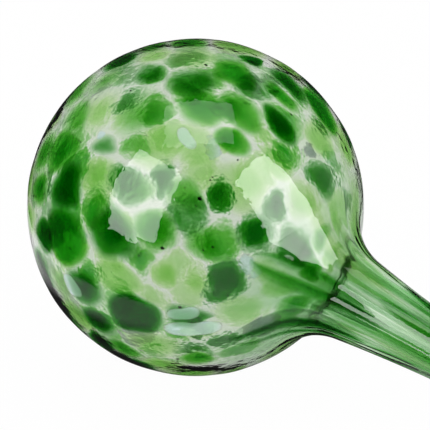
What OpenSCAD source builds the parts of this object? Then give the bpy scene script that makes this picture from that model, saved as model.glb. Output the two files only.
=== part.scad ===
// Hand-blown glass watering globe, as it lies on a table: the globe and the
// open tip of its hollow stem both touch the surface z = 0.
// It is made as a glassblower makes it: a hollow body of clear glass, with chips
// of coloured glass picked up on its outside while hot and pressed in flush.
// Blowing spreads the chips on the globe into rounded cells, and drawing out
// the neck pulls them into long streaks.

/* [Globe] */
// Outside diameter of the globe
globe_d = 90; // [76:1:110]
// Radius of the hollow curve where the globe runs into the neck
neck_curve_r = 18; // [12:1:28]
// Outside diameter of the neck at the foot of that curve
neck_d = 22.5; // [19:0.5:28]

/* [Stem] */
// Outside diameter of the straight part of the stem
stem_d = 12; // [10:0.5:16]
// Radius of the long curve by which the neck thins down to the stem
taper_curve_r = 475; // [300:5:600]
// Distance from the centre of the globe to the open tip
reach = 235; // [200:5:270]

/* [Glass] */
// Thickness of the glass wall, chips included
wall_t = 2.2; // [1.6:0.1:3]
// Depth of the coloured chips in the wall
chip_t = 0.6; // [0.3:0.05:1]

/* [Coloured chips] */
// Number of cells that a whole ball is divided into
cell_count = 190; // [120:10:260]
// How unevenly the cells are spread, in degrees
cell_jitter = 8; // [0:1:9]
// How much the cells differ in size
size_spread = 0.5; // [0:0.05:0.6]
// How many times longer than wide the cells are beside the neck
cell_stretch = 1.9; // [1:0.1:2.2]
// Turn of the whole pattern about the stem, set so that clear glass and no chip meets the table
pattern_turn = 339; // [0:1:360]
// Least clear gap from a chip's edge to the middle of the line between two chips
gap_least = 0.3; // [0.2:0.05:0.6]
// How much wider that gap gets on the smallest chips
gap_spread = 1.6; // [0:0.1:2.4]
// Angle from the stem's axis at which round chips give way to streaks
streak_start = 47; // [44:1:60]
// Share of the chips and streaks that are deep green
deep_share = 0.26; // [0.1:0.02:0.4]
// Share of them that are mid green; most of the rest are pale green
mid_share = 0.32; // [0.1:0.02:0.5]
// Share of the chips that are smoke grey
smoke_share = 0.04; // [0.01:0.01:0.1]
// Share of the places for streaks that stay clear
clear_share = 0.08; // [0:0.02:0.3]
// Number of streaks round the stem in each row
streaks_around = 7; // [5:1:8]
// Share of the room round the stem that a streak takes up
streak_fill = 0.8; // [0.5:0.02:0.84]

/* [Hidden] */
$fn = 96;

CLEAR = [0.86, 0.95, 0.88];
DEEP_GREEN = [0.01, 0.36, 0.07];
MID_GREEN = [0.17, 0.56, 0.17];
PALE_GREEN = [0.56, 0.78, 0.44];
SMOKE_GREY = [0.56, 0.62, 0.64];

globe_r = globe_d / 2;
neck_r = neck_d / 2;
stem_r = stem_d / 2;

// The two hollow curves of the outside, as centres in the half plane [radius, height].
// Height runs along the axis from the centre of the globe to the tip.
neck_angle = asin((neck_r + neck_curve_r) / (globe_r + neck_curve_r));
neck_centre = (globe_r + neck_curve_r) * [sin(neck_angle), cos(neck_angle)];
thinning = neck_r - stem_r;
taper_rise = sqrt(thinning * (2 * (taper_curve_r - neck_curve_r) - thinning));
straight_start = neck_centre[1] + taper_rise;
taper_centre = [stem_r + taper_curve_r, straight_start];
// Where the line through both centres meets the axis: it parts the two curves.
curve_split = neck_centre[1]
    - neck_centre[0] * taper_rise / (taper_centre[0] - neck_centre[0]);

// The open tip is fire-polished to a full round, halfway through the wall.
lip_r = wall_t / 2;
lip_ring_r = stem_r - lip_r;
lip_height = reach - lip_r;

// At rest the globe and the lip touch the same surface.
rest_tilt = asin((globe_r - lip_r) / norm([lip_height, lip_ring_r])) - atan2(lip_ring_r, lip_height);
tip_forward = lip_height * cos(rest_tilt) + lip_ring_r * sin(rest_tilt) + lip_r;
globe_x = (globe_r - tip_forward) / 2;

// Turns what is modelled along +Z so that it lies on the table, stem towards +X.
module lay_down() {
    translate([globe_x, 0, globe_r]) rotate([0, 90 + rest_tilt, 0]) rotate(pattern_turn) children();
}

// Half section of everything deeper in the glass than depth, up to a square end.
// Each curve bites a hair into the next, so that the surfaces meet in a clean line.
BITE = 0.003;
STEM_LAP = 3;
module section_below(depth, end_height) {
    far = 2 * globe_r;
    difference() {
        circle(r = globe_r - depth);
        translate([-far, -far]) square([far, 2 * far]);
    }
    difference() {
        polygon([[0, 0], neck_centre, [0, curve_split]]);
        translate(neck_centre) circle(r = neck_curve_r + depth + 2 * BITE);
    }
    difference() {
        polygon([[0, 0], taper_centre, [0, straight_start]]);
        translate(taper_centre) circle(r = taper_curve_r + depth + BITE, $fn = 720);
    }
    translate([0, straight_start - STEM_LAP])
        square([stem_r - depth, end_height - straight_start + STEM_LAP]);
}

// Keeps the rounded lip: cuts the square tip back to a ring of the wall's thickness.
module round_lip() {
    difference() {
        children();
        translate([lip_ring_r - 2 * lip_r, lip_height]) square([4 * lip_r, 2 * lip_r]);
    }
    intersection() {
        children();
        translate([lip_ring_r, lip_height]) circle(r = lip_r);
    }
}

// The layer of glass between two depths, turned about the axis.
module layer(from_depth, to_depth) {
    rotate_extrude() round_lip() difference() {
        section_below(from_depth, reach);
        section_below(to_depth, reach + lip_r);
    }
}

// Outside radius of the glass at a height.
globe_end = globe_r * cos(neck_angle);
neck_end = neck_centre[1]
    - neck_curve_r * taper_rise / (taper_curve_r - neck_curve_r);
function curve_radius(centre, r, height) = centre[0] - sqrt(r * r - pow(height - centre[1], 2));
function radius_at(height) =
    height < globe_end ? sqrt(globe_r * globe_r - height * height)
    : height < neck_end ? curve_radius(neck_centre, neck_curve_r, height)
    : height < straight_start ? curve_radius(taper_centre, taper_curve_r, height)
    : stem_r;

// A repeatable number from 0 to 1 for each item and use: the far decimals of a sine.
ITEM_STEP = 78.233;
USE_STEP = 37.719;
DECIMALS = 43758.5453;
function scatter(item, use) =
    let (v = sin(item * ITEM_STEP + use * USE_STEP) * DECIMALS) v - floor(v);
SHIFT_ALONG = 1;
SHIFT_AROUND = 2;
GAP = 3;
CHIP_TONE = 4;
STREAK_TONE = 5;
LAP_LOW = 6;
LAP_HIGH = 7;
SIZE = 9;

// Unit vector at an angle from the stem's axis and an angle round it.
function direction(from_axis, around) =
    [sin(from_axis) * cos(around), sin(from_axis) * sin(around), cos(from_axis)];

// The middle of each cell, as [angle from the axis, angle round it]: a spiral over the ball, shaken.
GOLDEN_TURN = 137.508;
POLE_LIMIT = 0.25;
seeds = [for (i = [0:cell_count - 1])
    let (
        level = acos(1 - 2 * (i + 0.5) / cell_count),
        from_axis = level + cell_jitter * (scatter(i, SHIFT_ALONG) - 0.5),
        shift = cell_jitter * (scatter(i, SHIFT_AROUND) - 0.5),
        around = GOLDEN_TURN * i + shift / max(sin(level), POLE_LIMIT)
    ) [from_axis, around]];
seed_dirs = [for (s = seeds) direction(s[0], s[1])];
// Cells further apart than this many cell widths aren't neighbours.
NEAR = 2.1;
BALL_SQUARE_DEGREES = 41253;
near_cosine = cos(NEAR * sqrt(BALL_SQUARE_DEGREES / cell_count));

// How many times longer than wide the glass was drawn at an angle from the axis.
UNDRAWN = 95;
function drawn(from_axis) =
    1 + (cell_stretch - 1) * max(0, min(1, (UNDRAWN - from_axis) / (UNDRAWN - streak_start)));

// The straight edges round a cell, each as [direction, distance] in the plane that touches the ball there.
// Each lies halfway to a neighbour, as measured in the glass before it was drawn, or nearer
// the smaller cell.
function cell_edges(i) =
    let (
        u = seed_dirs[i],
        e1 = direction(seeds[i][0] + 90, seeds[i][1]),
        e2 = [-sin(seeds[i][1]), cos(seeds[i][1]), 0]
    )
    [for (k = [0:cell_count - 1])
        let (v = seed_dirs[k], c = u * v)
        if (k != i && c > near_cosine)
            let (
                a = v * e1,
                b = v * e2,
                undo = pow(drawn((seeds[i][0] + seeds[k][0]) / 2), -2),
                halfway = (1 - c) / (a * a + b * b) * (undo * a * a + b * b) / norm([undo * a, b]),
                share = 1 + size_spread * (scatter(i, SIZE) - scatter(k, SIZE))
            )
            [atan2(b, undo * a), halfway * share]];

// A cell's outline, seen along its middle: the edges, drawn in by the gap and blended
// so that no corner is sharp.
CORNER_POWER = 7;
SMALLEST = 0.6;
OUTLINE_POINTS = 10;
// No chip reaches nearer to the stem's axis than this angle, where the streaks begin.
MARGIN = 5;
FAR = 60;
chip_limit = streak_start - MARGIN;
function cell_outline(i) =
    let (
        gap = gap_least + gap_spread * pow(scatter(i, GAP), 3),
        limit = [180, tan(min(seeds[i][0] - chip_limit, FAR))],
        edges = [for (e = concat(cell_edges(i), [limit])) [e[0], max(globe_r * e[1] - gap, SMALLEST)]]
    )
    [for (k = [0:OUTLINE_POINTS - 1])
        let (
            turn = 360 * k / OUTLINE_POINTS,
            pull = [for (e = edges) pow(max(cos(turn - e[0]) / e[1], 0), CORNER_POWER)],
            r = pow(pull * [for (e = edges) 1], -1 / CORNER_POWER)
        )
        r / norm([1, r / globe_r]) * [cos(turn), sin(turn)]];

// The tone that a number from 0 to 1 falls to. The last share is the one for OTHER.
DEEP = 0;
MID = 1;
PALE = 2;
OTHER = 3;
function tone_of(v, last_share) =
    v < deep_share ? DEEP : v < deep_share + mid_share ? MID : v < 1 - last_share ? PALE : OTHER;

// The room that one chip takes in the body, open towards the outside.
ROOT = 0.9;
module chip_room(i) {
    start = ROOT * (globe_r - chip_t);
    difference() {
        rotate([0, seeds[i][0], seeds[i][1]]) translate([0, 0, start])
            linear_extrude(globe_r + chip_t - start) polygon(cell_outline(i));
        sphere(r = globe_r - chip_t);
    }
}

function is_chip(i) = seeds[i][0] > streak_start;

// The chips of one colour on the globe.
module chips(tone) {
    for (i = [0:cell_count - 1])
        if (is_chip(i) && tone_of(scatter(i, CHIP_TONE), smoke_share) == tone)
            intersection() {
                sphere(r = globe_r);
                chip_room(i);
            }
}

// Rows of streaks: heights of both ends. Each row is longer than the one before, as the
// glass was drawn further.
first_row = globe_r * cos(chip_limit);
last_row = reach - 3 * wall_t;
ROWS = 5;
ROW_GROWTH = 1.15;
ROW_LAP = 6;
row_unit = (last_row - first_row) * (ROW_GROWTH - 1) / (pow(ROW_GROWTH, ROWS) - 1);
function row_start(row) = first_row + row_unit * (pow(ROW_GROWTH, row) - 1) / (ROW_GROWTH - 1);

// Half of the angle round the axis that a streak takes at a share t of its length.
FULLNESS = 0.7;
function streak_half_angle(t) =
    180 / streaks_around * streak_fill * pow(sin(180 * t), FULLNESS);

STREAK_STEPS = [0, 0.1, 0.35, 0.65, 0.9, 1];
function streak_outline(low, high) =
    let (
        side = [for (t = STREAK_STEPS) let (z = low + (high - low) * t)
            [radius_at(z) * sin(streak_half_angle(t)), z]],
        back = [for (k = [len(side) - 2:-1:1]) [-side[k][0], side[k][1]]]
    )
    concat(side, back);

// The room of each streak of one colour in the neck and stem, from well inside it outwards.
FIRST_STREAK = 300;
CORE = 0.8;
module streak_rooms(tone) {
    for (row = [0:ROWS - 1], k = [0:streaks_around - 1]) {
        item = FIRST_STREAK + row * streaks_around + k;
        low = row_start(row) - (row > 0 ? ROW_LAP * scatter(item, LAP_LOW) / 2 : 0);
        high = row_start(row + 1) + (row < ROWS - 1 ? ROW_LAP * scatter(item, LAP_HIGH) / 2 : 0);
        if (tone_of(scatter(item, STREAK_TONE), clear_share) == tone)
            rotate(360 / streaks_around * (k + row / 2)) rotate([90, 0, 90])
                translate([0, 0, CORE * (radius_at(high) - chip_t)])
                linear_extrude(globe_r) polygon(streak_outline(low, high));
    }
}

// The streaks of one colour.
module streaks(tone) {
    intersection() {
        layer(0, chip_t);
        streak_rooms(tone);
    }
}

// The body has a shallow pocket for each chip and streak.
module clear_glass_body() {
    color(CLEAR, 0.35) lay_down() difference() {
        layer(0, wall_t);
        for (i = [0:cell_count - 1]) if (is_chip(i)) chip_room(i);
        difference() {
            for (tone = [DEEP, MID, PALE]) streak_rooms(tone);
            rotate_extrude() section_below(chip_t, reach);
        }
    }
}

module deep_green_chips() {
    color(DEEP_GREEN) lay_down() chips(DEEP);
}

module mid_green_chips() {
    color(MID_GREEN) lay_down() chips(MID);
}

module pale_green_chips() {
    color(PALE_GREEN) lay_down() chips(PALE);
}

module smoke_grey_chips() {
    color(SMOKE_GREY) lay_down() chips(OTHER);
}

module deep_green_streaks() {
    color(DEEP_GREEN) lay_down() streaks(DEEP);
}

module mid_green_streaks() {
    color(MID_GREEN) lay_down() streaks(MID);
}

module pale_green_streaks() {
    color(PALE_GREEN) lay_down() streaks(PALE);
}

clear_glass_body();
deep_green_chips();
mid_green_chips();
pale_green_chips();
smoke_grey_chips();
deep_green_streaks();
mid_green_streaks();
pale_green_streaks();
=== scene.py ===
import logging
import math
from dataclasses import dataclass, field
from enum import Enum

import bpy
import numpy as np
from mathutils import Matrix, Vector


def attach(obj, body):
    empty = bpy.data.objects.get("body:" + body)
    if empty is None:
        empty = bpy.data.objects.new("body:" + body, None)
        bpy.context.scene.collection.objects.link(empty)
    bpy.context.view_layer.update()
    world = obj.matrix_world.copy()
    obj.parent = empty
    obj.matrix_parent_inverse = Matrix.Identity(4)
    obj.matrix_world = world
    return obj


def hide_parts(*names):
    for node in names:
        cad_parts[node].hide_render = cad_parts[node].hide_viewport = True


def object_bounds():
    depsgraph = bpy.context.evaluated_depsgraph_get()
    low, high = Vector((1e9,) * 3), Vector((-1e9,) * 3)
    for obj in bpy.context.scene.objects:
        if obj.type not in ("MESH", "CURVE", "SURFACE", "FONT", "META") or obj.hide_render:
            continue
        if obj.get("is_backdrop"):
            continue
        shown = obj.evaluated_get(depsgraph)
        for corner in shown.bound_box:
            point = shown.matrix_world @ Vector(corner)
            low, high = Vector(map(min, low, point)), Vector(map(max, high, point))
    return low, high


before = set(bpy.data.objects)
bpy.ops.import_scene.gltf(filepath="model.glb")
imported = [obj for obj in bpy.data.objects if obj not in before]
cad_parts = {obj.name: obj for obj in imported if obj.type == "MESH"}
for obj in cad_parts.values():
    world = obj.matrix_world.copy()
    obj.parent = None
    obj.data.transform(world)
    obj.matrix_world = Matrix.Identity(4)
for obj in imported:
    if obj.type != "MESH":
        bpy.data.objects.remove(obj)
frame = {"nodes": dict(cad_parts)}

LOG = logging.getLogger("watering_globe")
BOUNDS_AT_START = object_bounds()
MM = 0.001
Colour = tuple[float, float, float]


class Tone(Enum):
    """The coloured glasses, in the order in which chips and streaks are shared out."""

    DEEP = "deep_green"
    MID = "mid_green"
    PALE = "pale_green"
    SMOKE = "smoke_grey"


class Rays(Enum):
    """Which rays see a piece of the studio."""

    REFLECTED = "reflected"
    REFRACTED = "refracted"


def smooth(value: np.ndarray, low: float, high: float) -> np.ndarray:
    """Ease from 0 at low to 1 at high: 3 t squared minus 2 t cubed.

    Args:
        value: The numbers to ease.
        low: Where the rise starts.
        high: Where the rise ends.

    Returns:
        Numbers from 0 to 1.
    """
    t = np.clip((value - low) / (high - low), 0, 1)
    return t * t * (3 - 2 * t)


def waves(points: np.ndarray, count: int, length: float, seed: int) -> np.ndarray:
    """Smooth bumps: a sum of sines that run in seeded directions at about one length.

    Args:
        points: Places, with their coordinates in the last axis.
        count: Number of sines.
        length: Mean wave length, in the units of the points.
        seed: Number that fixes the directions.

    Returns:
        Heights around 0, mostly from -1.5 to 1.5.
    """
    rng = np.random.default_rng(seed)
    ways = rng.normal(size=(count, points.shape[-1]))
    ways /= np.linalg.norm(ways, axis=1, keepdims=True)
    ways *= 2 * math.pi / length * rng.uniform(0.6, 1.5, (count, 1))
    return np.sin(points @ ways.T + rng.uniform(0, 2 * math.pi, count)).sum(-1) * math.sqrt(1 / count)


@dataclass(frozen=True)
class BlownShape:
    """The vessel's outline in millimetres, along its axis from the globe's centre to the tip."""

    globe_r: float = 45.0
    neck_curve_r: float = 18.0
    neck_r: float = 11.25
    stem_r: float = 6.0
    taper_curve_r: float = 475.0
    reach: float = 235.0
    wall: float = 2.2
    turn: float = 339.0

    @property
    def lip(self) -> float:
        """Radius of the round lip."""
        return self.wall / 2

    @property
    def neck_angle(self) -> float:
        """Angle from the axis at which the globe ends."""
        return math.asin((self.neck_r + self.neck_curve_r) / (self.globe_r + self.neck_curve_r))

    @property
    def neck_centre(self) -> tuple[float, float]:
        """Centre of the neck's hollow curve, as radius and height."""
        far = self.globe_r + self.neck_curve_r
        return far * math.sin(self.neck_angle), far * math.cos(self.neck_angle)

    @property
    def straight_start(self) -> float:
        """Height at which the stem becomes straight."""
        thin = self.neck_r - self.stem_r
        return self.neck_centre[1] + math.sqrt(thin * (2 * (self.taper_curve_r - self.neck_curve_r) - thin))

    @property
    def tilt(self) -> float:
        """Slope of the axis when the globe and the lip rest on the table."""
        ring, height = self.stem_r - self.lip, self.reach - self.lip
        return math.asin((self.globe_r - self.lip) / math.hypot(height, ring)) - math.atan2(ring, height)

    @property
    def globe_x(self) -> float:
        """Where the globe's centre stands along the table."""
        ring, height = self.stem_r - self.lip, self.reach - self.lip
        tip = height * math.cos(self.tilt) + ring * math.sin(self.tilt) + self.lip
        return (self.globe_r - tip) / 2

    @property
    def centre(self) -> np.ndarray:
        """The globe's centre in the shared frame, in metres."""
        return np.array([self.globe_x, 0, self.globe_r]) * MM

    def outline(self, globe_step: float, stem_step: float) -> np.ndarray:
        """Outside profile: circle of the globe, two hollow arcs, then a straight line.

        Args:
            globe_step: Spacing of the points on the globe and the neck's curve.
            stem_step: Spacing on the taper and the stem.

        Returns:
            Rows of radius, height, the outward normal's two parts, and length along the profile.
        """
        neck_x, neck_z = self.neck_centre
        taper_r = self.taper_curve_r
        lean = math.asin((self.straight_start - neck_z) / (taper_r - self.neck_curve_r))
        quarter = math.pi / 2
        a = np.linspace(math.pi, self.neck_angle, int(self.globe_r * (math.pi - self.neck_angle) / globe_step))
        parts = [np.stack([self.globe_r * np.sin(a), self.globe_r * np.cos(a), np.sin(a), np.cos(a)], 1)]
        a = np.linspace(self.neck_angle, quarter - lean, int(self.neck_curve_r / globe_step))[1:]
        r, z = neck_x - self.neck_curve_r * np.sin(a), neck_z - self.neck_curve_r * np.cos(a)
        parts.append(np.stack([r, z, np.sin(a), np.cos(a)], 1))
        a = np.linspace(quarter - lean, quarter, int(taper_r * lean / stem_step))[1:]
        r, z = self.stem_r + taper_r - taper_r * np.sin(a), self.straight_start - taper_r * np.cos(a)
        parts.append(np.stack([r, z, np.sin(a), np.cos(a)], 1))
        count = int((self.reach - self.straight_start) / stem_step)
        z = np.linspace(self.straight_start, self.reach - self.lip, count)[1:]
        parts.append(np.stack([np.full_like(z, self.stem_r), z, np.ones_like(z), np.zeros_like(z)], 1))
        profile = np.concatenate(parts)
        length = np.concatenate([[0], np.cumsum(np.hypot(*np.diff(profile[:, :2], axis=0).T))])
        return np.column_stack([profile, length])

    def place(self, points: np.ndarray) -> np.ndarray:
        """Lay model points down on the table: turn about the axis, tip over, then shift.

        Args:
            points: Places in millimetres, with the axis along Z.

        Returns:
            Places in metres in the shared frame.
        """
        c, s = math.cos(math.radians(self.turn)), math.sin(math.radians(self.turn))
        about = np.array([[c, -s, 0], [s, c, 0], [0, 0, 1]])
        c, s = math.cos(math.pi / 2 + self.tilt), math.sin(math.pi / 2 + self.tilt)
        over = np.array([[c, 0, s], [0, 1, 0], [-s, 0, c]])
        return points @ (over @ about).T * MM + self.centre


@dataclass(frozen=True)
class Cell:
    """One chip's place: its number, its middle and sides on the ball, and its straight edges."""

    number: int
    middle: np.ndarray
    along: np.ndarray
    across: np.ndarray
    edge_turn: np.ndarray
    edge_far: np.ndarray
    milky: bool = False


@dataclass(frozen=True)
class Fleck:
    """A small milky chip on the globe: two angles for its place, its half sizes and its turn."""

    level: float
    around: float
    half_length: float
    half_width: float
    slant: float


def direction(level: float, around: float) -> np.ndarray:
    """Unit vector at an angle from the axis and an angle round it, both in degrees."""
    a, b = math.radians(level), math.radians(around)
    return np.array([math.sin(a) * math.cos(b), math.sin(a) * math.sin(b), math.cos(a)])


@dataclass(frozen=True)
class ChipPattern:
    """Where the chips lie on the globe, by the rules of the part's source.

    The places listed last are places where the colour is paler: angle from the axis, angle
    round it, width, and the share of colour that is missing. A share below 0 makes the
    colour deeper: painted shade on the left and right flanks and low at the front of the
    globe, where it looks dark from the camera.
    """

    ball_r: float = 45.0
    count: int = 190
    jitter: float = 8.0
    gap_least: float = 0.3
    gap_spread: float = 1.6
    size_spread: float = 0.5
    stretch: float = 1.9
    undrawn: float = 95.0
    start: float = 47.0
    limit: float = 42.0
    power: float = 3.4
    shares: tuple[float, float, float] = (0.26, 0.58, 0.96)
    # paler places, and painted shade where the share is below 0 (the last three)
    paler_places_and_painted_shade: tuple[tuple[float, float, float, float], ...] = (
        (65, 253, 18, 0.32), (115, 66, 18, 0.36), (117, 233, 27, 0.45), (158, 117, 27, 0.35),
        (110, 277, 20, -0.7), (41, 190, 18, -0.6), (78, 304, 18, -0.4))

    @staticmethod
    def scatter(item: np.ndarray | int, use: int) -> np.ndarray | float:
        """A repeatable number from 0 to 1: the far decimals of a sine."""
        v = np.sin(np.radians(item * 78.233 + use * 37.719)) * 43758.5453
        return v - np.floor(v)

    def tone(self, item: int, use: int = 4) -> Tone:
        """The colour that falls to an item."""
        return list(Tone)[int(np.searchsorted(self.shares, self.scatter(item, use), side="right"))]

    def cells(self) -> list[Cell]:
        """Cut the ball into cells round a shaken spiral of seeds.

        A straight edge lies halfway to each neighbour, as measured before the glass was
        drawn, or nearer the smaller cell. The gap then draws it in.

        Returns:
            The cells that hold chips.
        """
        number = np.arange(self.count)
        level = np.degrees(np.arccos(1 - 2 * (number + 0.5) / self.count))
        polar = np.radians(level + self.jitter * (self.scatter(number, 1) - 0.5))
        shift = self.jitter * (self.scatter(number, 2) - 0.5) / np.maximum(np.sin(np.radians(level)), 0.25)
        turn = np.radians(137.508 * number + shift)
        middles = np.stack([np.sin(polar) * np.cos(turn), np.sin(polar) * np.sin(turn), np.cos(polar)], 1)
        near = math.cos(math.radians(2.1 * math.sqrt(41253 / self.count)))
        cells = []
        for i in np.flatnonzero(np.degrees(polar) > self.start):
            along = np.array([math.cos(polar[i]) * math.cos(turn[i]), math.cos(polar[i]) * math.sin(turn[i]),
                              -math.sin(polar[i])])
            across = np.array([-math.sin(turn[i]), math.cos(turn[i]), 0])
            c = middles @ middles[i]
            beside = (c > near) & (number != i)
            a, b = middles[beside] @ along, middles[beside] @ across
            mean = np.degrees(polar[i] + polar[beside]) / 2
            drawn = np.clip((self.undrawn - mean) / (self.undrawn - self.start), 0, 1)
            undo = (1 + (self.stretch - 1) * drawn) ** -2.0
            half = (1 - c[beside]) / (a * a + b * b) * (undo * a * a + b * b) / np.hypot(undo * a, b)
            share = 1 + self.size_spread * (self.scatter(i, 9) - self.scatter(number[beside], 9))
            end = math.tan(math.radians(min(math.degrees(polar[i]) - self.limit, 60)))
            gap = self.gap_least + self.gap_spread * self.scatter(i, 3) ** 3
            far = np.maximum(self.ball_r * np.append(half * share, end) - gap, 0.6)
            cells.append(Cell(int(i), middles[i], along, across, np.append(np.arctan2(b, undo * a), math.pi), far))
        return cells

    def rim(self, cell: Cell, turn: np.ndarray) -> np.ndarray:
        """Radius of a cell's melted outline: its edges blended by a power, then a slow wobble.

        Args:
            cell: The cell.
            turn: Angles round the cell's middle.

        Returns:
            Radii in millimetres.
        """
        pull = np.maximum(np.cos(turn[..., None] - cell.edge_turn) / cell.edge_far, 0) ** self.power
        phase = 2 * math.pi * np.array([self.scatter(cell.number, use) for use in (11, 12, 13)])
        wobble = 0.05 * np.sin(2 * turn + phase[0]) + 0.05 * np.sin(3 * turn + phase[1])
        wobble += 0.035 * np.sin(5 * turn + phase[2])
        melt = 0.3 + 2.3 * self.scatter(cell.number, 14)
        return pull.sum(-1) ** (-1 / self.power) * (1 + wobble) + melt

    def fill(self, cell: Cell, inward: np.ndarray) -> np.ndarray:
        """Depth of colour in a chip: its own strength times 1 minus the share to a power.

        Args:
            cell: The chip's cell.
            inward: Share of the way from the chip's middle to its rim.

        Returns:
            Depths from 0, which is clear, to about 1.
        """
        steep = 1.3 + 2.0 * self.scatter(cell.number, 15) ** 1.5
        strength = 0.7 + 0.45 * self.scatter(cell.number, 8)
        # paler places; a share below 0 deepens the colour as painted shade
        for level, around, width, share in self.paler_places_and_painted_shade:
            off = math.degrees(math.acos(float(np.clip(direction(level, around) @ cell.middle, -1, 1))))
            strength *= 1 - share * math.exp(-((off / width) ** 2))
        if cell.milky:
            steep, strength = 8.0, 1.2
        return strength * np.clip(1 - inward**steep, 0, 1)


@dataclass
class MeshParts:
    """Collects points, faces and point attributes, and makes a mesh of them."""

    points: list[np.ndarray] = field(default_factory=list)
    faces: list[np.ndarray] = field(default_factory=list)
    attributes: dict[str, list[np.ndarray]] = field(default_factory=dict)
    count: int = 0

    def add(self, points: np.ndarray, faces: np.ndarray, **attributes: np.ndarray) -> None:
        """Add one closed form.

        Args:
            points: Its points, in metres.
            faces: Rows of four point numbers, or three and -1.
            **attributes: Values for each point, by name.
        """
        self.points.append(points)
        self.faces.append(np.where(faces < 0, -1, faces + self.count))
        for name, values in attributes.items():
            self.attributes.setdefault(name, []).append(values)
        self.count += len(points)

    def make(self, name: str) -> bpy.types.Object:
        """Make the mesh and its object, at the origin and smooth.

        Args:
            name: Name of both.

        Returns:
            The new object.
        """
        points, faces = np.concatenate(self.points), np.concatenate(self.faces)
        mesh = bpy.data.meshes.new(name)
        mesh.vertices.add(len(points))
        mesh.vertices.foreach_set("co", points.astype(np.float32).ravel())
        sides = np.where(faces[:, 3] < 0, 3, 4)
        corners = faces.ravel()
        corners = corners[corners >= 0].astype(np.int32)
        mesh.loops.add(len(corners))
        mesh.loops.foreach_set("vertex_index", corners)
        mesh.polygons.add(len(faces))
        mesh.polygons.foreach_set("loop_start", np.append(0, np.cumsum(sides)[:-1]).astype(np.int32))
        mesh.polygons.foreach_set("use_smooth", np.ones(len(faces), bool))
        mesh.update(calc_edges=True)
        for key, values in self.attributes.items():
            values = np.concatenate(values).astype(np.float32)
            kind, slot = {1: ("FLOAT", "value"), 3: ("FLOAT_VECTOR", "vector"), 4: ("FLOAT_COLOR", "color")}[
                1 if values.ndim == 1 else values.shape[1]]
            mesh.attributes.new(key, kind, "POINT").data.foreach_set(slot, values.ravel())
        mesh.validate()
        made = bpy.data.objects.new(name, mesh)
        bpy.context.scene.collection.objects.link(made)
        LOG.info("%s: %d points, %d faces", name, len(points), len(faces))
        return made


def tube_faces(rows: int, columns: int, first_pole: bool = True, last_pole: bool = True) -> np.ndarray:
    """Faces of a grid whose columns close round, with a point at each closed end.

    The grid's points come first, row by row, then the pole before row 0, then the pole
    after the last row. Faces look outwards where the turn and the rows run right-handed.

    Args:
        rows: Number of rows.
        columns: Number of points in a row.
        first_pole: Whether the first row is closed to a pole.
        last_pole: Whether the last row is closed to a pole.

    Returns:
        Rows of four point numbers, or three and -1.
    """
    k = np.arange(columns)
    after = (k + 1) % columns
    row = np.arange(rows - 1)[:, None] * columns
    faces = [np.stack([row + k, row + after, row + columns + after, row + columns + k], -1).reshape(-1, 4)]
    none = np.full(columns, -1)
    pole = rows * columns
    if first_pole:
        faces.append(np.stack([none * 0 + pole, after, k, none], 1))
        pole += 1
    if last_pole:
        last = (rows - 1) * columns
        faces.append(np.stack([none * 0 + pole, last + k, last + after, none], 1))
    return np.concatenate(faces)


class Nodes:
    """Short calls that place and join shader nodes."""

    def __init__(self, tree: bpy.types.NodeTree) -> None:
        """Keep the tree that the nodes go in."""
        self.tree = tree

    def add(self, kind: str, **settings: object) -> bpy.types.Node:
        """Place a node of a kind and set its properties.

        Args:
            kind: Name of the node's type, without its prefix.
            **settings: Properties to set.

        Returns:
            The node.
        """
        node = self.tree.nodes.new("ShaderNode" + kind)
        for key, value in settings.items():
            setattr(node, key, value)
        return node

    def join(self, source: bpy.types.NodeSocket, target: bpy.types.NodeSocket) -> None:
        """Join an output to an input."""
        self.tree.links.new(source, target)

    def mix(self, factor: bpy.types.NodeSocket | float, first: bpy.types.NodeSocket | Colour,
            second: bpy.types.NodeSocket | Colour, blend: str = "MIX") -> bpy.types.NodeSocket:
        """Mix two colours.

        Args:
            factor: Share of the second colour.
            first: A colour or an output.
            second: A colour or an output.
            blend: How they are mixed.

        Returns:
            The mixed colour's output.
        """
        node = self.add("Mix", data_type="RGBA", blend_type=blend, clamp_factor=True)
        for value, socket in zip((factor, first, second), (node.inputs[0], node.inputs[6], node.inputs[7])):
            if isinstance(value, bpy.types.NodeSocket):
                self.join(value, socket)
            else:
                socket.default_value = value if socket.type == "VALUE" else (*value, 1)
        return node.outputs[2]

    def number(self, operation: str, first: bpy.types.NodeSocket, second: bpy.types.NodeSocket | float,
               third: float = 0.0) -> bpy.types.NodeSocket:
        """Work out one number from others.

        Args:
            operation: Name of the sum.
            first: The number that varies.
            second: The other number.
            third: A third number, where the sum takes one.

        Returns:
            The result's output.
        """
        node = self.add("Math", operation=operation)
        self.join(first, node.inputs[0])
        if isinstance(second, bpy.types.NodeSocket):
            self.join(second, node.inputs[1])
        else:
            node.inputs[1].default_value = second
        node.inputs[2].default_value = third
        return node.outputs[0]


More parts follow.
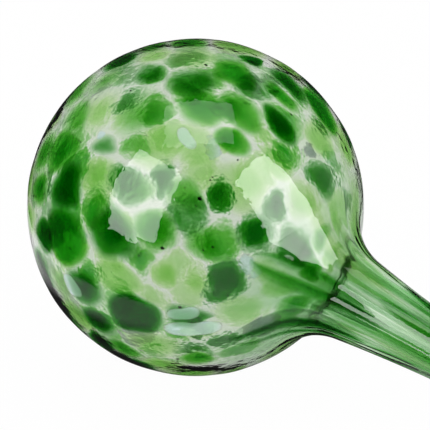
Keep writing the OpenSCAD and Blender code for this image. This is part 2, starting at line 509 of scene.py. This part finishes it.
def melted_colour() -> bpy.types.NodeTree:
    """Build the group that gives melted glass its uneven colour.

    Clear glass turns to the thin colour and then to the full one with depth. Two sizes of
    cloud in the glass shift the depth.

    Returns:
        The node group, built once.
    """
    group = bpy.data.node_groups.get("melted_colour")
    if group:
        return group
    group = bpy.data.node_groups.new("melted_colour", "ShaderNodeTree")
    for name, kind in (("Depth", "NodeSocketFloat"), ("Place", "NodeSocketVector"), ("Thin", "NodeSocketColor"),
                       ("Full", "NodeSocketColor"), ("Unevenness", "NodeSocketFloat")):
        group.interface.new_socket(name, in_out="INPUT", socket_type=kind)
    group.interface.new_socket("Colour", in_out="OUTPUT", socket_type="NodeSocketColor")
    nodes = Nodes(group)
    given, result = group.nodes.new("NodeGroupInput"), group.nodes.new("NodeGroupOutput")
    large, fine = nodes.add("TexNoise"), nodes.add("TexNoise")
    for cloud, scale, detail in ((large, 150.0, 2.0), (fine, 620.0, 3.0)):
        nodes.join(given.outputs["Place"], cloud.inputs["Vector"])
        cloud.inputs["Scale"].default_value = scale
        cloud.inputs["Detail"].default_value = detail
    clouds = nodes.number("ADD", nodes.number("MULTIPLY", large.outputs[0], 0.75),
                          nodes.number("MULTIPLY", fine.outputs[0], 0.25))
    shift = nodes.number("MULTIPLY", nodes.number("SUBTRACT", clouds, 0.5), given.outputs["Unevenness"])
    depth = nodes.number("MULTIPLY", given.outputs["Depth"], nodes.number("ADD", shift, 1.0))
    thin = nodes.mix(nodes.number("MULTIPLY", depth, 1.7), (1, 1, 1), given.outputs["Thin"])
    full = nodes.mix(nodes.number("MULTIPLY_ADD", depth, 1.35, -0.35), thin, given.outputs["Full"])
    nodes.join(full, result.inputs["Colour"])
    return group


@dataclass(frozen=True)
class ColouredGlass:
    """Coloured glass sunk in clear glass: it tints what passes and bends nothing."""

    name: str
    thin: Colour
    full: Colour
    unevenness: float = 1.3
    passing: float = 1.0
    # strength of a painted glow: the milky flecks give off their own colour as light, standing in for the light they
    # scatter
    milkiness: float = 0.34

    def material(self) -> bpy.types.Material:
        """Build the material: a Principled shader whose colour follows the glass's depth.

        Returns:
            The material.
        """
        made = bpy.data.materials.new(self.name)
        made.use_nodes = True
        made.diffuse_color = (*self.full, 1)
        nodes = Nodes(made.node_tree)
        shader = made.node_tree.nodes["Principled BSDF"]
        shader.inputs["Roughness"].default_value = 0.0
        shader.inputs["IOR"].default_value = 1.0
        shader.inputs["Transmission Weight"].default_value = self.passing
        group = nodes.add("Group", node_tree=melted_colour())
        nodes.join(nodes.add("Attribute", attribute_name="depth").outputs["Fac"], group.inputs["Depth"])
        nodes.join(nodes.add("TexCoord").outputs["Object"], group.inputs["Place"])
        group.inputs["Thin"].default_value = (*self.thin, 1)
        group.inputs["Full"].default_value = (*self.full, 1)
        group.inputs["Unevenness"].default_value = self.unevenness
        nodes.join(group.outputs[0], shader.inputs["Base Color"])
        # painted light: where the milky flecks lie, the glass glows with its own colour
        milk = nodes.add("Attribute", attribute_name="milk").outputs["Fac"]
        nodes.join(nodes.mix(milk, (0, 0, 0), group.outputs[0]), shader.inputs["Emission Color"])
        shader.inputs["Emission Strength"].default_value = self.milkiness
        return made


@dataclass(frozen=True)
class ClearGlass:
    """The body's glass: clear, with a breath of the colours melted into it.

    The relief is the height, in metres, of the fine unevenness that makes reflections ragged.
    """

    name: str = "blown_clear_glass"
    clear: Colour = (0.82, 0.868, 0.795)
    drawn: Colour = (0.16, 0.52, 0.14)
    ior: float = 1.5
    relief: float = 0.00006

    def material(self) -> bpy.types.Material:
        """Build the material: clear glass, tinted by its point colours and by drawn lines.

        Returns:
            The material.
        """
        made = bpy.data.materials.new(self.name)
        made.use_nodes = True
        nodes = Nodes(made.node_tree)
        shader = made.node_tree.nodes["Principled BSDF"]
        shader.inputs["IOR"].default_value = self.ior
        shader.inputs["Transmission Weight"].default_value = 1.0
        sweep = nodes.add("Attribute", attribute_name="sweep").outputs["Vector"]
        lines = nodes.add("TexNoise")
        lines.inputs["Scale"].default_value = 3.2
        lines.inputs["Detail"].default_value = 4.0
        nodes.join(sweep, lines.inputs["Vector"])
        stripes = nodes.add("ValToRGB")
        stripes.color_ramp.elements[0].position, stripes.color_ramp.elements[1].position = 0.35, 0.6
        nodes.join(lines.outputs[0], stripes.inputs[0])
        stretched = nodes.number("MULTIPLY", stripes.outputs[0],
                                 nodes.add("Attribute", attribute_name="drawn").outputs["Fac"])
        body = nodes.mix(stretched, self.clear, self.drawn)
        tint = nodes.add("Attribute", attribute_name="tint").outputs["Color"]
        nodes.join(nodes.mix(1.0, body, tint, "MULTIPLY"), shader.inputs["Base Color"])
        grain, combed = nodes.add("TexNoise"), nodes.add("TexNoise")
        nodes.join(nodes.add("TexCoord").outputs["Object"], grain.inputs["Vector"])
        nodes.join(sweep, combed.inputs["Vector"])
        grain.inputs["Scale"].default_value, combed.inputs["Scale"].default_value = 340.0, 11.0
        grain.inputs["Detail"].default_value = combed.inputs["Detail"].default_value = 2.0
        drawn = nodes.add("Attribute", attribute_name="drawn").outputs["Fac"]
        ball = nodes.number("MULTIPLY", grain.outputs[0], nodes.number("MULTIPLY_ADD", drawn, -1.0, 1.0))
        share = nodes.add("Attribute", attribute_name="combed").outputs["Fac"]
        stem = nodes.number("MULTIPLY", nodes.number("MULTIPLY", combed.outputs[0], share), 0.1)
        relief = nodes.add("Bump")
        relief.inputs["Distance"].default_value = self.relief
        nodes.join(nodes.number("ADD", ball, stem), relief.inputs["Height"])
        nodes.join(relief.outputs[0], shader.inputs["Normal"])
        smears = nodes.add("TexNoise")
        smears.inputs["Scale"].default_value = 90.0
        smears.inputs["Detail"].default_value = 5.0
        nodes.join(nodes.add("TexCoord").outputs["Object"], smears.inputs["Vector"])
        worn = nodes.number("MULTIPLY", nodes.number("SUBTRACT", smears.outputs[0], 0.58), 0.25)
        nodes.join(nodes.number("MAXIMUM", worn, 0.0), shader.inputs["Roughness"])
        return made


@dataclass(frozen=True)
class CaughtAir:
    """Air caught in the glass: light bends as from glass into air."""

    name: str = "air_in_glass"
    colour: Colour = (0.97, 0.98, 0.97)
    ior: float = 0.667

    def material(self) -> bpy.types.Material:
        """Build the material, as the body's with the light bent the other way."""
        return ClearGlass(self.name, self.colour, self.colour, self.ior).material()


@dataclass
class BlownWall:
    """The hollow body: the outside with its swellings, the round lip and the inside."""

    shape: BlownShape
    pattern: ChipPattern
    turns: int = 220
    chip_swell: float = 0.09
    lumps: float = 0.08
    ridges: float = 0.11
    inside_lumps: float = 0.05

    def chip_fields(self, directions: np.ndarray) -> tuple[np.ndarray, np.ndarray]:
        """How far the chips swell the glass, and how they tint it, along unit directions.

        Args:
            directions: Unit vectors from the globe's centre.

        Returns:
            Heights from 0 to 1, and colours to multiply with.
        """
        swell = np.zeros(directions.shape[:-1])
        tint = np.ones((*directions.shape[:-1], 3))
        for cell in self.pattern.cells():
            c = directions @ cell.middle
            near = c > math.cos(math.radians(17))
            flat = self.shape.globe_r * directions[near] / c[near][:, None]
            a, b = flat @ cell.along, flat @ cell.across
            inward = np.hypot(a, b) / self.pattern.rim(cell, np.arctan2(b, a))
            swell[near] = np.maximum(swell[near], np.clip(1 - inward**3, 0, 1))
            breath = BREATHS[self.pattern.tone(cell.number)]
            tint[near] *= 1 - self.pattern.fill(cell, np.minimum(inward * 1.12, 1))[:, None] * (1 - np.array(breath))
        return swell, tint

    def surface(self, profile: np.ndarray, lift: np.ndarray) -> np.ndarray:
        """Turn a profile about the axis: (r cos a, r sin a, z), moved along its normal by lift.

        Args:
            profile: Rows of radius, height and normal.
            lift: Distance to move each point of the grid.

        Returns:
            Grid of points in millimetres.
        """
        a = np.linspace(0, 2 * math.pi, self.turns, endpoint=False)
        r = profile[:, :1] + lift * profile[:, 2:3]
        z = profile[:, 1:2] + lift * profile[:, 3:4]
        return np.stack([r * np.cos(a), r * np.sin(a), z + 0 * a], -1)

    def drawn_share(self, height: np.ndarray) -> np.ndarray:
        """How far the glass was drawn out at a height: 0 on the globe, 1 from the taper on."""
        return smooth(height, 24, 52)

    def combed_share(self, height: np.ndarray) -> np.ndarray:
        """How strongly the drawn glass is ridged at a height: less and less where the stem gets thin."""
        return self.drawn_share(height) * (1 - 0.75 * smooth(height, 92, 140))

    def build(self) -> bpy.types.Object:
        """Build the wall as one closed grid from pole to pole, over the outside, lip and inside.

        Returns:
            The wall.
        """
        flat = np.zeros((1, self.turns))
        outside = self.shape.outline(1.0, 1.9)[1:]
        plain = self.surface(outside, flat)
        unit = plain / np.linalg.norm(plain, axis=-1, keepdims=True)
        z = plain[..., 2]
        globe = smooth(-z, -38, -28)
        swell, tint = self.chip_fields(unit)
        a = np.linspace(0, 2 * math.pi, self.turns, endpoint=False)
        sweep = np.stack(np.broadcast_arrays(np.cos(a), np.sin(a), outside[:, 4:5] / 90), -1)
        ridge = waves(sweep * (1, 1, 0.4), 24, 0.5, 5) + 0.6 * waves(sweep * (1, 1, 0.4), 24, 0.24, 6)
        lift = globe * (self.chip_swell * swell + self.lumps * waves(plain, 24, 26, 3))
        lift += self.ridges * ridge * smooth(z, 28, 58) * self.combed_share(z) * smooth(self.shape.reach - z, 0, 4)
        rows = [self.surface(outside, lift)]
        round_lip = np.linspace(0, math.pi, 9)[1:-1]
        ring = self.shape.stem_r - self.shape.lip
        lip = np.stack([ring + self.shape.lip * np.cos(round_lip),
                        self.shape.reach - self.shape.lip + self.shape.lip * np.sin(round_lip)], 1)
        rows.append(self.surface(np.column_stack([lip, lip * 0]), flat))
        inside = self.shape.outline(1.3, 2.2)[1:][::-1]
        plain_in = self.surface(inside, flat)
        sink = self.inside_lumps * waves(plain_in, 24, 20, 9) * smooth(-plain_in[..., 2], -55, -25)
        rows.append(self.surface(inside, sink - self.shape.wall))
        grid = np.concatenate(rows)
        tint_in = self.chip_fields(plain_in / np.linalg.norm(plain_in, axis=-1, keepdims=True))[1]
        poles = np.array([[0, 0, -self.shape.globe_r], [0, 0, self.shape.wall - self.shape.globe_r]])
        height = np.append(grid[..., 2].ravel(), poles[:, 2])
        turned = np.concatenate([grid.reshape(-1, 3), poles])
        around = turned[:, :2] / np.maximum(np.linalg.norm(turned[:, :2], axis=1, keepdims=True), 1e-6)
        clear_lip = np.ones((len(lip) * self.turns, 3))
        colour = np.concatenate([tint.reshape(-1, 3), clear_lip, tint_in.reshape(-1, 3), np.ones((2, 3))])
        colour = 1 - (1 - colour) * (1 - self.drawn_share(height))[:, None]
        parts = MeshParts()
        parts.add(self.shape.place(turned), tube_faces(len(grid), self.turns),
                  tint=np.column_stack([colour, np.ones(len(colour))]), drawn=self.drawn_share(height),
                  combed=self.combed_share(height), sweep=np.column_stack([around, height / 150]))
        wall = parts.make("blown_wall")
        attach(wall, "root")
        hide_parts("clear_glass_body")
        wall.data.materials.append(ClearGlass().material())
        return wall


@dataclass
class PressedChips:
    """The chips on the globe: a lens of coloured glass in each cell, just under the surface.

    A few smaller milky flecks of smoke grey lie over them; they glow a little, as painted light.
    """

    shape: BlownShape
    pattern: ChipPattern
    rings: int = 8
    sectors: int = 36
    cover: float = 0.15
    thickness: float = 0.75
    fleck_cover: float = 0.06
    flecks: tuple[Fleck, ...] = (
        Fleck(80, 231, 3.5, 1.7, 154), Fleck(56, 291, 4.0, 2.0, 14), Fleck(53, 299, 7.2, 2.6, 8),
        Fleck(97, 298, 2.9, 3.4, 35), Fleck(107, 244, 1.3, 1.1, 93), Fleck(118, 95, 3.6, 2.2, 70),
        Fleck(84, 60, 4.4, 2.4, 20), Fleck(140, 10, 3.0, 2.2, 120), Fleck(66, 120, 4.2, 1.9, 5))

    def lens(self, cell: Cell, rim: np.ndarray, cover: float) -> tuple[np.ndarray, np.ndarray]:
        """A closed lens on the ball: its top follows the ball, its belly hangs by 1 - q^2.6.

        Args:
            cell: The place of its middle.
            rim: Radius of its outline at each turn.
            cover: Clear glass over it.

        Returns:
            Points of the belly from the pole to the rim and of the top back to the middle,
            and how deep the colour is at each.
        """
        turn = np.linspace(0, 2 * math.pi, self.sectors, endpoint=False)
        share = np.arange(1, self.rings + 1)[:, None] / self.rings
        x, y = share * rim * np.cos(turn), share * rim * np.sin(turn)
        spot = x[..., None] * cell.along + y[..., None] * cell.across
        way = cell.middle + spot / self.shape.globe_r
        way /= np.linalg.norm(way, axis=-1, keepdims=True)
        top_r = self.shape.globe_r - cover
        belly_r = top_r - 0.03 - self.thickness * (1 - share**2.6)
        belly, top = way * belly_r[..., None], way[:-1][::-1] * top_r
        poles = np.stack([cell.middle * (top_r - 0.03 - self.thickness), cell.middle * top_r])
        depth = self.pattern.fill(cell, share + 0 * turn)
        full = float(self.pattern.fill(cell, np.zeros(1))[0])
        depths = np.concatenate([depth.ravel(), depth[:-1][::-1].ravel(), [full, full]])
        return np.concatenate([belly.reshape(-1, 3), top.reshape(-1, 3), poles]), depths

    def fleck(self, number: int, turn: np.ndarray) -> tuple[Cell, np.ndarray, float]:
        """One fleck's place, its outline, an oval with a slow wobble, and its cover.

        Args:
            number: Which fleck.
            turn: Angles round its middle.

        Returns:
            Its place, the radius of its outline at each turn, and the clear glass over it.
        """
        fleck = self.flecks[number]
        middle, along = direction(fleck.level, fleck.around), direction(fleck.level + 90, fleck.around)
        c = math.radians(fleck.slant)
        long_way = math.cos(c) * along + math.sin(c) * np.cross(middle, along)
        cell = Cell(number, middle, long_way, np.cross(middle, long_way), np.zeros(1), np.ones(1), True)
        oval = np.abs(np.cos(turn) / fleck.half_length) ** 2.6 + np.abs(np.sin(turn) / fleck.half_width) ** 2.6
        wobble = 0.08 * np.sin(2 * turn + number) + 0.07 * np.sin(3 * turn + 2 * number)
        return cell, oval ** (-1 / 2.6) * (1 + wobble), self.fleck_cover

    def build(self, tone: Tone) -> bpy.types.Object:
        """Build all the chips of one colour.

        Args:
            tone: The colour.

        Returns:
            The chips, as one piece.
        """
        parts = MeshParts()
        faces = tube_faces(2 * self.rings - 1, self.sectors)
        turn = np.linspace(0, 2 * math.pi, self.sectors, endpoint=False)
        places = [(cell, self.pattern.rim(cell, turn), self.cover)
                  for cell in self.pattern.cells() if self.pattern.tone(cell.number) is tone]
        if tone is Tone.SMOKE:
            places += [self.fleck(number, turn) for number in range(len(self.flecks))]
        for place in places:
            points, depth = self.lens(*place)
            # the milky flecks take a share of the painted glow, by their depth of colour
            parts.add(self.shape.place(points), faces, depth=depth, milk=place[0].milky * np.minimum(depth, 1))
        chips = parts.make(f"pressed_{tone.value}_chips")
        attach(chips, "root")
        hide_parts(f"{tone.value}_chips")
        chips.data.materials.append(CHIP_GLASS[tone].material())
        return chips


@dataclass
class DrawnStreaks:
    """The chips of the neck and stem, drawn out to long streaks of many threads."""

    shape: BlownShape
    pattern: ChipPattern
    rows: int = 5
    growth: float = 1.15
    lap: float = 6.0
    around: int = 7
    fill: float = 0.8
    first_item: int = 300
    steps: int = 44
    sides: int = 48
    thickness: float = 0.6
    cover: float = 0.15
    shares: tuple[float, float, float] = (0.26, 0.58, 0.92)

    def row_start(self, row: int) -> float:
        """Height at which a row of streaks begins: each row is longer than the last."""
        first = self.shape.globe_r * math.cos(math.radians(self.pattern.limit))
        last = self.shape.reach - 3 * self.shape.wall
        unit = (last - first) * (self.growth - 1) / (self.growth**self.rows - 1)
        return first + unit * (self.growth**row - 1) / (self.growth - 1)

    def streak(self, row: int, place: int) -> tuple[np.ndarray, np.ndarray]:
        """A long lens on the drawn glass: half width goes as sin(pi t)^0.7 along it.

        Args:
            row: Its row along the stem.
            place: Its place round the stem.

        Returns:
            Points from one tip to the other, and how deep the colour is at each.
        """
        item = self.first_item + row * self.around + place
        low = self.row_start(row) - (self.lap * self.pattern.scatter(item, 6) / 2 if row else 0)
        high = self.row_start(row + 1)
        high += self.lap * self.pattern.scatter(item, 7) / 2 if row < self.rows - 1 else 0
        profile = self.shape.outline(0.5, 1.0)
        profile = profile[(profile[:, 1] > 0) & (np.diff(profile[:, 1], prepend=-999) > 0)]
        t = np.arange(1, self.steps)[:, None] / self.steps
        z = low + (high - low) * t
        radius, out_r, out_z = (np.interp(z, profile[:, 1], profile[:, n]) for n in (0, 2, 3))
        w = np.linspace(0, 2 * math.pi, self.sides, endpoint=False)
        middle = 2 * math.pi / self.around * (place + row / 2)
        half = math.pi / self.around * self.fill * 1.08 * np.sin(math.pi * t) ** 0.7
        turn = middle + half * np.cos(w)
        body = np.sqrt(np.clip(1 - np.cos(w) ** 2, 0, 1)) * np.sin(math.pi * t) ** 0.5
        lift = -self.cover - np.where(np.sin(w) < 0, 0.03 + self.thickness * body, 0)
        r, height = radius + lift * out_r, z + lift * out_z
        grid = np.stack([r * np.cos(turn), r * np.sin(turn), height], -1)
        end = np.array([math.cos(middle), math.sin(middle), 1.0])
        tip_r = radius[[0, -1], 0] - 0.2
        tips = end * np.column_stack([tip_r, tip_r, [low, high]])
        phase = 2 * math.pi * self.pattern.scatter(item, 16)
        threads = 0.68 + 0.32 * np.sin((4 + 3 * self.pattern.scatter(item, 17)) * np.cos(w) + phase + 0.8 * t)
        threads *= 0.85 + 0.15 * np.sin(15 * np.cos(w) + 2 * phase)
        depth = np.append((body * threads * (0.8 + 0.4 * self.pattern.scatter(item, 8))).ravel(), [0, 0])
        return np.concatenate([grid.reshape(-1, 3), tips]), depth

    def build(self, tone: Tone) -> bpy.types.Object:
        """Build all the streaks of one colour.

        Args:
            tone: The colour.

        Returns:
            The streaks, as one piece.
        """
        parts = MeshParts()
        faces = tube_faces(self.steps - 1, self.sides)
        for row in range(self.rows):
            for place in range(self.around):
                share = self.pattern.scatter(self.first_item + row * self.around + place, 5)
                if list(Tone)[int(np.searchsorted(self.shares, share, side="right"))] is tone:
                    points, depth = self.streak(row, place)
                    parts.add(self.shape.place(points), faces, depth=depth)
        streaks = parts.make(f"drawn_{tone.value}_streaks")
        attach(streaks, "root")
        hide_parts(f"{tone.value}_streaks")
        streaks.data.materials.append(STREAK_GLASS[tone].material())
        return streaks


@dataclass
class Bubbles:
    """Small bubbles of air caught in the wall."""

    shape: BlownShape
    count: int = 90
    least_r: float = 0.13
    most_r: float = 0.42
    rings: int = 5
    sectors: int = 8
    seed: int = 12

    def build(self) -> bpy.types.Object:
        """Build the bubbles: balls stretched along the way that the glass was drawn.

        Returns:
            The bubbles, as one piece.
        """
        rng = np.random.default_rng(self.seed)
        parts = MeshParts()
        faces = tube_faces(self.rings, self.sectors)
        polar = np.linspace(math.pi, 0, self.rings + 2)[1:-1, None]
        turn = np.linspace(0, 2 * math.pi, self.sectors, endpoint=False)
        ball = np.stack([np.sin(polar) * np.cos(turn), np.sin(polar) * np.sin(turn), np.cos(polar) + 0 * turn], -1)
        ball = np.concatenate([ball.reshape(-1, 3), [[0, 0, -1], [0, 0, 1]]])
        for _ in range(self.count):
            level, way = math.acos(rng.uniform(-1, 0.7)), rng.uniform(0, 2 * math.pi)
            out = np.array([math.sin(level) * math.cos(way), math.sin(level) * math.sin(way), math.cos(level)])
            along = np.array([math.cos(level) * math.cos(way), math.cos(level) * math.sin(way), -math.sin(level)])
            basis = np.stack([np.cross(out, along), out, -along])
            size = self.least_r + (self.most_r - self.least_r) * rng.uniform() ** 3
            middle = out * (self.shape.globe_r - rng.uniform(1.1, 1.5))
            parts.add(self.shape.place(middle + size * (ball * (1, 0.8, 1.5)) @ basis), faces)
        bubbles = parts.make("bubbles_in_wall")
        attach(bubbles, "root")
        bubbles.data.materials.append(CaughtAir().material())
        return bubbles


BREATHS: dict[Tone, Colour] = {
    Tone.DEEP: (0.30, 0.70, 0.30),
    Tone.MID: (0.60, 0.86, 0.52),
    Tone.PALE: (0.88, 0.97, 0.80),
    Tone.SMOKE: (0.88, 0.89, 0.90),
}
CHIP_GLASS: dict[Tone, ColouredGlass] = {
    Tone.DEEP: ColouredGlass("deep_green_glass", (0.08, 0.50, 0.04), (0.0, 0.17, 0.003)),
    Tone.MID: ColouredGlass("mid_green_glass", (0.32, 0.74, 0.17), (0.04, 0.43, 0.025)),
    Tone.PALE: ColouredGlass("pale_green_glass", (0.84, 0.96, 0.70), (0.52, 0.81, 0.36)),
    Tone.SMOKE: ColouredGlass("smoke_grey_glass", (0.80, 0.84, 0.86), (0.60, 0.68, 0.72), 0.5, 0.75),
}
STREAK_GLASS: dict[Tone, ColouredGlass] = {
    Tone.DEEP: ColouredGlass("deep_green_drawn_glass", (0.05, 0.42, 0.04), (0.001, 0.09, 0.004), 0.6),
    Tone.MID: ColouredGlass("mid_green_drawn_glass", (0.20, 0.62, 0.14), (0.03, 0.32, 0.025), 0.6),
    Tone.PALE: ColouredGlass("pale_green_drawn_glass", (0.74, 0.90, 0.58), (0.46, 0.72, 0.30), 0.6),
}


@dataclass
class View:
    """The camera: where it stands, the length of its lens in pixels, and where the globe falls."""

    centre: np.ndarray
    azimuth: float = -52.5
    elevation: float = 31.7
    distance: float = 0.675
    focal: float = 2522.0
    frame: float = 430.0
    globe_at: tuple[float, float] = (195.6, 207.1)

    @property
    def axes(self) -> tuple[np.ndarray, np.ndarray, np.ndarray]:
        """Unit vectors to the right, up and from the globe to the camera."""
        a, e = math.radians(self.azimuth), math.radians(self.elevation)
        back = np.array([math.cos(e) * math.cos(a), math.cos(e) * math.sin(a), math.sin(e)])
        right = np.array([-math.sin(a), math.cos(a), 0.0])
        return right, np.cross(back, right), back

    def build(self) -> None:
        """Make the camera and set it, aimed so that the globe falls where it should."""
        right, up, back = self.axes
        at = self.centre + back * self.distance
        half = self.frame / 2
        shift = right * (half - self.globe_at[0]) + up * (self.globe_at[1] - half)
        target = self.centre + shift * self.distance / self.focal
        z = (at - target) / np.linalg.norm(at - target)
        x = np.cross([0, 0, 1], z)
        x /= np.linalg.norm(x)
        lens = bpy.data.cameras.new("camera")
        lens.lens = lens.sensor_width * self.focal / self.frame
        lens.clip_start = 0.05
        camera = bpy.data.objects.new("camera", lens)
        turned = np.eye(4)
        turned[:3] = np.column_stack([x, np.cross(z, x), z, at])
        camera.matrix_world = Matrix(turned.tolist())
        bpy.context.scene.collection.objects.link(camera)
        bpy.context.scene.camera = camera


@dataclass
class Studio:
    """A plain white table in a dark room with softboxes, and a white wall behind the object.

    The first numbers give a painted reflection of the table: a round that glows about the
    globe, seen only in the glass, dark in its middle as painted shade under the globe, bright
    in a ring and dark beyond; radius about the globe, in metres, and light. The last two
    numbers are how white the table looks to the camera and through the glass, where 1 is white.
    """

    shape: BlownShape
    view: View
    # painted reflection: light of a glowing round on the table by radius, seen only in the glass; dark in the middle
    # as painted shade
    painted_reflection_round: tuple[tuple[float, float], ...] = (
        (0.001, 0.02), (0.054, 0.03), (0.068, 0.6), (0.098, 0.7), (0.101, 0.65), (0.103, 0.3), (0.106, 0.02),
        (0.5, 0.02), (3.9, 0.02))
    table_half: float = 4.0
    dome_r: float = 2.0
    white_seen: float = 0.98
    white_through_glass: float = 0.8

    def glow(self, name: str, points: np.ndarray, faces: np.ndarray, colour: np.ndarray, rays: Rays) -> None:
        """Add a surface that only glows, seen in the glass alone.

        Args:
            name: Its name.
            points: Its points.
            faces: Its faces.
            colour: The light from each point, as three numbers.
            rays: Which rays see it.
        """
        parts = MeshParts()
        parts.add(points, faces, light=np.column_stack([colour, np.ones(len(colour))]))
        made = parts.make(name)
        material = bpy.data.materials.new(name)
        material.use_nodes = True
        nodes = Nodes(material.node_tree)
        material.node_tree.nodes.clear()
        light = nodes.add("Emission")
        nodes.join(nodes.add("Attribute", attribute_name="light").outputs["Color"], light.inputs["Color"])
        nodes.join(light.outputs[0], nodes.add("OutputMaterial").inputs["Surface"])
        made.data.materials.append(material)
        made.visible_camera = made.visible_diffuse = made.visible_shadow = made.visible_volume_scatter = False
        made.visible_glossy = rays is Rays.REFLECTED
        made.visible_transmission = rays is Rays.REFRACTED
        made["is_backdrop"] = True

    def softbox(self, name: str, corners: tuple[tuple[float, float, float], ...], strength: float) -> None:
        """Add a softbox, or a patch of table that shines under one.

        Args:
            name: Its name.
            corners: For each corner the angle to the right of the camera, the angle above
                the globe's middle and the distance from it.
            strength: How bright it is, where 1 is white.
        """
        side, height, away = np.array(corners).T
        a, e = np.radians(side + self.view.azimuth), np.radians(height)
        ways = np.stack([np.cos(e) * np.cos(a), np.cos(e) * np.sin(a), np.sin(e)], 1)
        points = self.shape.centre + ways * away[:, None]
        points[:, 2] = np.maximum(points[:, 2], 0.0002)
        self.glow(name, points, np.array([[0, 1, 2, 3]]), np.full((4, 3), strength), Rays.REFLECTED)

    def dome(self, name: str, level: tuple[list[float], list[float]], rays: Rays) -> None:
        """Add a dome whose light depends on the height above the table, dark on the camera's side.

        Args:
            name: Its name.
            level: Angles above the table, and the light at each.
            rays: Which rays see it.
        """
        rows, columns = 48, 96
        up = np.linspace(-math.pi / 2, math.pi / 2, rows + 2)[1:-1, None]
        turn = np.linspace(0, 2 * math.pi, columns, endpoint=False)
        ball = np.stack([np.cos(up) * np.cos(turn), np.cos(up) * np.sin(turn), np.sin(up) + 0 * turn], -1)
        ball = np.concatenate([ball.reshape(-1, 3), [[0, 0, -1], [0, 0, 1]]])
        light = np.interp(np.degrees(np.arcsin(ball[:, 2])), *level)
        around = np.abs((np.degrees(np.arctan2(ball[:, 1], ball[:, 0])) - self.view.azimuth + 180) % 360 - 180)
        light *= 0.04 + 0.96 * smooth(around, 92, 128)
        points, faces = self.shape.centre + self.dome_r * ball, tube_faces(rows, columns)
        self.glow(name, points, faces, np.repeat(light[:, None], 3, 1), rays)

    def paint_table_reflection(self) -> None:
        """Painted reflection of the table: a round that glows about the globe in the dark room, seen only in the
        glass, with painted shade in its middle.
        """
        turn = np.linspace(0, 2 * math.pi, 96, endpoint=False)
        radius, level = np.array(self.painted_reflection_round).T[..., None]
        middle = self.shape.centre * (1, 1, 0) + (0, 0, 0.0001)
        disc = np.stack([radius * np.cos(turn), radius * np.sin(turn), 0 * radius * turn], -1).reshape(-1, 3) + middle
        disc = np.concatenate([disc, [middle]])
        light = np.append((level + 0 * turn).ravel(), level[0])
        faces = tube_faces(len(radius), len(turn), last_pole=False)
        self.glow("painted_table_reflection", disc, faces, np.repeat(light[:, None], 3, 1), Rays.REFLECTED)

    def table(self) -> None:
        """A matt white table that shows as white to the camera and nearly so through the glass."""
        parts = MeshParts()
        corners = self.table_half * np.array([[-1, -1, 0], [1, -1, 0], [1, 1, 0], [-1, 1, 0]])
        parts.add(corners, np.array([[0, 1, 2, 3]]))
        table = parts.make("table")
        material = bpy.data.materials.new("white_table")
        material.use_nodes = True
        nodes = Nodes(material.node_tree)
        paint, out = material.node_tree.nodes["Principled BSDF"], material.node_tree.nodes["Material Output"]
        paint.inputs["Base Color"].default_value = (0.92, 0.92, 0.92, 1)
        paint.inputs["Roughness"].default_value = 1.0
        paint.inputs["Specular IOR Level"].default_value = 0.0
        light, path, mixed = nodes.add("Emission"), nodes.add("LightPath"), nodes.add("MixShader")
        seen = nodes.number("MULTIPLY", path.outputs["Is Camera Ray"], self.white_seen)
        through = nodes.number("MULTIPLY", path.outputs["Is Transmission Ray"], self.white_through_glass)
        nodes.join(nodes.number("MAXIMUM", seen, through), mixed.inputs[0])
        nodes.join(paint.outputs[0], mixed.inputs[1])
        nodes.join(light.outputs[0], mixed.inputs[2])
        nodes.join(mixed.outputs[0], out.inputs["Surface"])
        table.data.materials.append(material)
        table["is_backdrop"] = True

    def build(self) -> None:
        """Build the softboxes, the room and the table, and set the white world."""
        self.softbox("left_softbox", ((-61, 3, 1.42), (-27, 3, 1.42), (-13, 54, 1.42), (-75, 54, 1.42)), 5.6)
        self.softbox("right_softbox", ((49, -1.9, 1.35), (84, -1.9, 1.35), (73, 49, 1.35), (36, 44, 1.35)), 7.0)
        self.softbox("shine_on_table", ((50, -2, 1.288), (84, -2, 1.288), (89, -25, 0.106), (80, -25, 0.106)), 6.0)
        self.softbox("top_softbox", ((-47, 67, 1.3), (58, 64, 1.3), (129, 65, 1.3), (-135, 70, 1.3)), 1.8)
        self.dome("bright_surroundings", ([-90, 0, 35, 55, 90], [1, 1, 1, 0.4, 0.1]), Rays.REFRACTED)
        self.dome("dark_surroundings", ([-90, 90], [0.02, 0.02]), Rays.REFLECTED)
        # painted reflection of the table, with painted shade under the globe
        self.paint_table_reflection()
        self.table()
        world = bpy.data.worlds.new("white_room")
        world.use_nodes = True
        world.node_tree.nodes["Background"].inputs["Color"].default_value = (1, 1, 1, 1)
        bpy.context.scene.world = world
        bpy.context.scene.view_settings.view_transform = "Standard"


def main() -> None:
    """Build the vessel, its coloured glass and the studio."""
    logging.basicConfig(level=logging.INFO)
    shape, pattern = BlownShape(), ChipPattern()
    view = View(shape.centre)
    view.build()
    BlownWall(shape, pattern).build()
    chips, streaks = PressedChips(shape, pattern), DrawnStreaks(shape, pattern)
    for tone in Tone:
        chips.build(tone)
    for tone in STREAK_GLASS:
        streaks.build(tone)
    Bubbles(shape).build()
    Studio(shape, view).build()
    boxes = [[list(map(float, corner)) for corner in box] for box in (BOUNDS_AT_START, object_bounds())]


if __name__ == "__main__":
    main()
